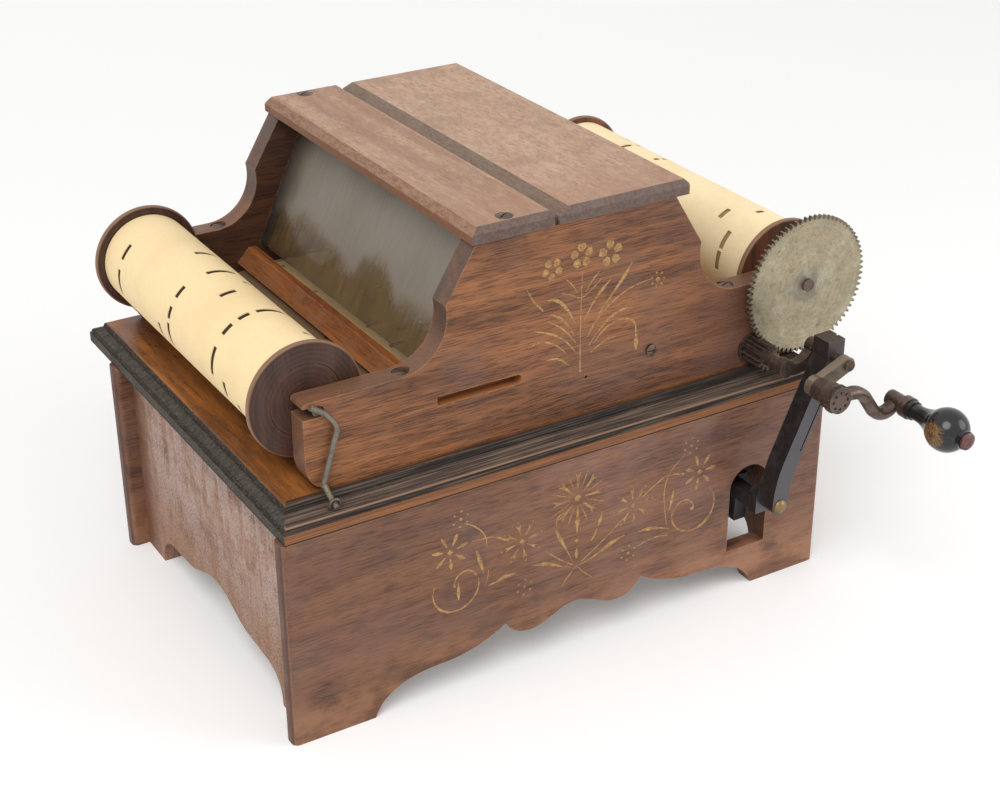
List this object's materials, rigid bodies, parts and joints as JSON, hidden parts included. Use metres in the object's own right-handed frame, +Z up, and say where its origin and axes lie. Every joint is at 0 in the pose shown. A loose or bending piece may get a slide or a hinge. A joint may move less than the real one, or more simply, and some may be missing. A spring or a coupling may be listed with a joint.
{
  "type": "music box",
  "caption": "Hand-cranked table organette: a geared crank draws a perforated paper roll over a reed chest and pumps a bellows in a scroll-sawn wooden cabinet.",
  "frame": {"origin": "under the middle of the whole object, at the height of the floor that its feet stand on", "axes": "+Z up, +X along the paper towards the take-up spool, -Y towards the side with the crank"},
  "size_m": [0.3602, 0.3658, 0.245],
  "materials": {
    "panel_walnut": "worn shellac over dark walnut",
    "roof_walnut": "dry, faded shellac",
    "field_wood": "glossy orange-brown shellac with an ebonised edge",
    "rail_wood": "red-brown shellac",
    "pale_wood": "bare softwood",
    "spool_wood": "turned and stained dark",
    "knob_black": "glossy black, worn through on one side",
    "paper": "smooth buff music paper",
    "old_iron": "brown oxidised iron",
    "black_iron": "black japanned iron",
    "worn_steel": "tan, rubbed iron",
    "nickel": "dull nickel plate with stains",
    "old_brass": "tarnished brass",
    "glass": "old flat glass",
    "leather": "dusty leather",
    "bellows_cloth": "maroon rubbered cloth"
  },
  "bodies": {
    "root": {"front_panel": "panel_walnut", "back_panel": "panel_walnut", "left_panel": "panel_walnut", "right_panel": "panel_walnut", "corner_blocks": "pale_wood", "top_board": "field_wood", "front_cheek": "panel_walnut", "back_cheek": "panel_walnut", "feed_rail": "rail_wood", "takeup_rail": "rail_wood", "roof_board": "roof_walnut", "hinge_leather": "leather", "window_glass": "glass", "slope_board": "panel_walnut", "roof_screws": "old_iron", "cheek_screws": "old_iron", "chest_screws": "old_iron", "reed_chest": "pale_wood", "reed_pan": "pale_wood", "reeds": "old_brass", "tracker_board": "pale_wood", "paper_web": "paper", "crank_bushing": "old_brass", "feeder_cloth": "bellows_cloth", "feeder_hinge": "leather", "reservoir_cloth": "bellows_cloth", "reservoir_hinge": "leather", "reservoir_spring": "old_iron", "wind_board": "pale_wood", "wind_trunk": "pale_wood", "outlet_flap": "leather", "catch_staple": "old_iron"},
    "lid": {"swell_lid": "roof_walnut"},
    "feed": {"feed_spool": "spool_wood", "feed_arbors": "old_iron", "feed_paper": "paper"},
    "takeup": {"takeup_spool": "spool_wood", "takeup_arbors": "old_iron", "takeup_paper": "paper", "spool_gear": "nickel", "gear_hub": "old_brass"},
    "crank": {"crankshaft": "old_iron", "pinion": "old_iron", "shaft_collar": "old_iron", "outer_web": "worn_steel", "crank_arm": "old_iron", "knob_spindle": "old_iron"},
    "knob": {"crank_knob": "knob_black", "knob_ferrule": "old_brass"},
    "rod": {"connecting_rod": "black_iron", "rod_pin": "old_brass"},
    "feeder": {"feeder_board": "pale_wood", "bellows_arm": "black_iron", "arm_screws": "old_iron", "inlet_flap": "leather"},
    "reservoir": {"reservoir_board": "pale_wood"},
    "catch": {"spool_catch": "old_iron"}
  },
  "joints": [
    {"name": "crank_turn", "type": "hinge", "parent": "root", "child": "crank", "pos_m": [0.10985, -0.0587, 0.13804], "axis": [0, 1, 0], "continuous": true},
    {"name": "takeup_turn", "type": "hinge", "parent": "root", "child": "takeup", "pos_m": [0.1409, -0.0587, 0.1703], "axis": [0, 1, 0], "continuous": true},
    {"name": "feed_turn", "type": "hinge", "parent": "root", "child": "feed", "pos_m": [-0.1475, -0.0587, 0.1703], "axis": [0, 1, 0], "continuous": true},
    {"name": "rod_swing", "type": "hinge", "parent": "crank", "child": "rod", "pos_m": [0.12923, -0.0995, 0.14614], "axis": [0, 1, 0], "continuous": true},
    {"name": "knob_spin", "type": "hinge", "parent": "crank", "child": "knob", "pos_m": [0.15345, -0.1349, 0.12434], "axis": [0, 1, 0], "continuous": true},
    {"name": "feeder_swing", "type": "hinge", "parent": "root", "child": "feeder", "pos_m": [-0.0026, 0.1315, 0.091], "axis": [1, 0, 0], "range_deg": [-3.2, 6.9], "deforming": ["feeder_cloth"]},
    {"name": "reservoir_swing", "type": "hinge", "parent": "root", "child": "reservoir", "pos_m": [-0.1051, 0.1315, 0.091], "axis": [1, 0, 0], "range_deg": [-10, 0], "deforming": ["reservoir_cloth", "reservoir_spring"]},
    {"name": "lid_swing", "type": "hinge", "parent": "root", "child": "lid", "pos_m": [-0.0145, 0.0555, 0.2401], "axis": [0, -1, 0], "range_deg": [0, 45]},
    {"name": "catch_swing", "type": "hinge", "parent": "root", "child": "catch", "pos_m": [-0.1481, -0.07211, 0.12678], "axis": [0, 1, 0], "range_deg": [-25, 0]}
  ],
  "couplings": [
    {"joint": "takeup_turn", "follows": "crank_turn", "ratio": -0.16216},
    {"joint": "feed_turn", "follows": "crank_turn", "ratio": -0.16852},
    {"joint": "rod_swing", "follows": "crank_turn", "ratio": -1}
  ]
}
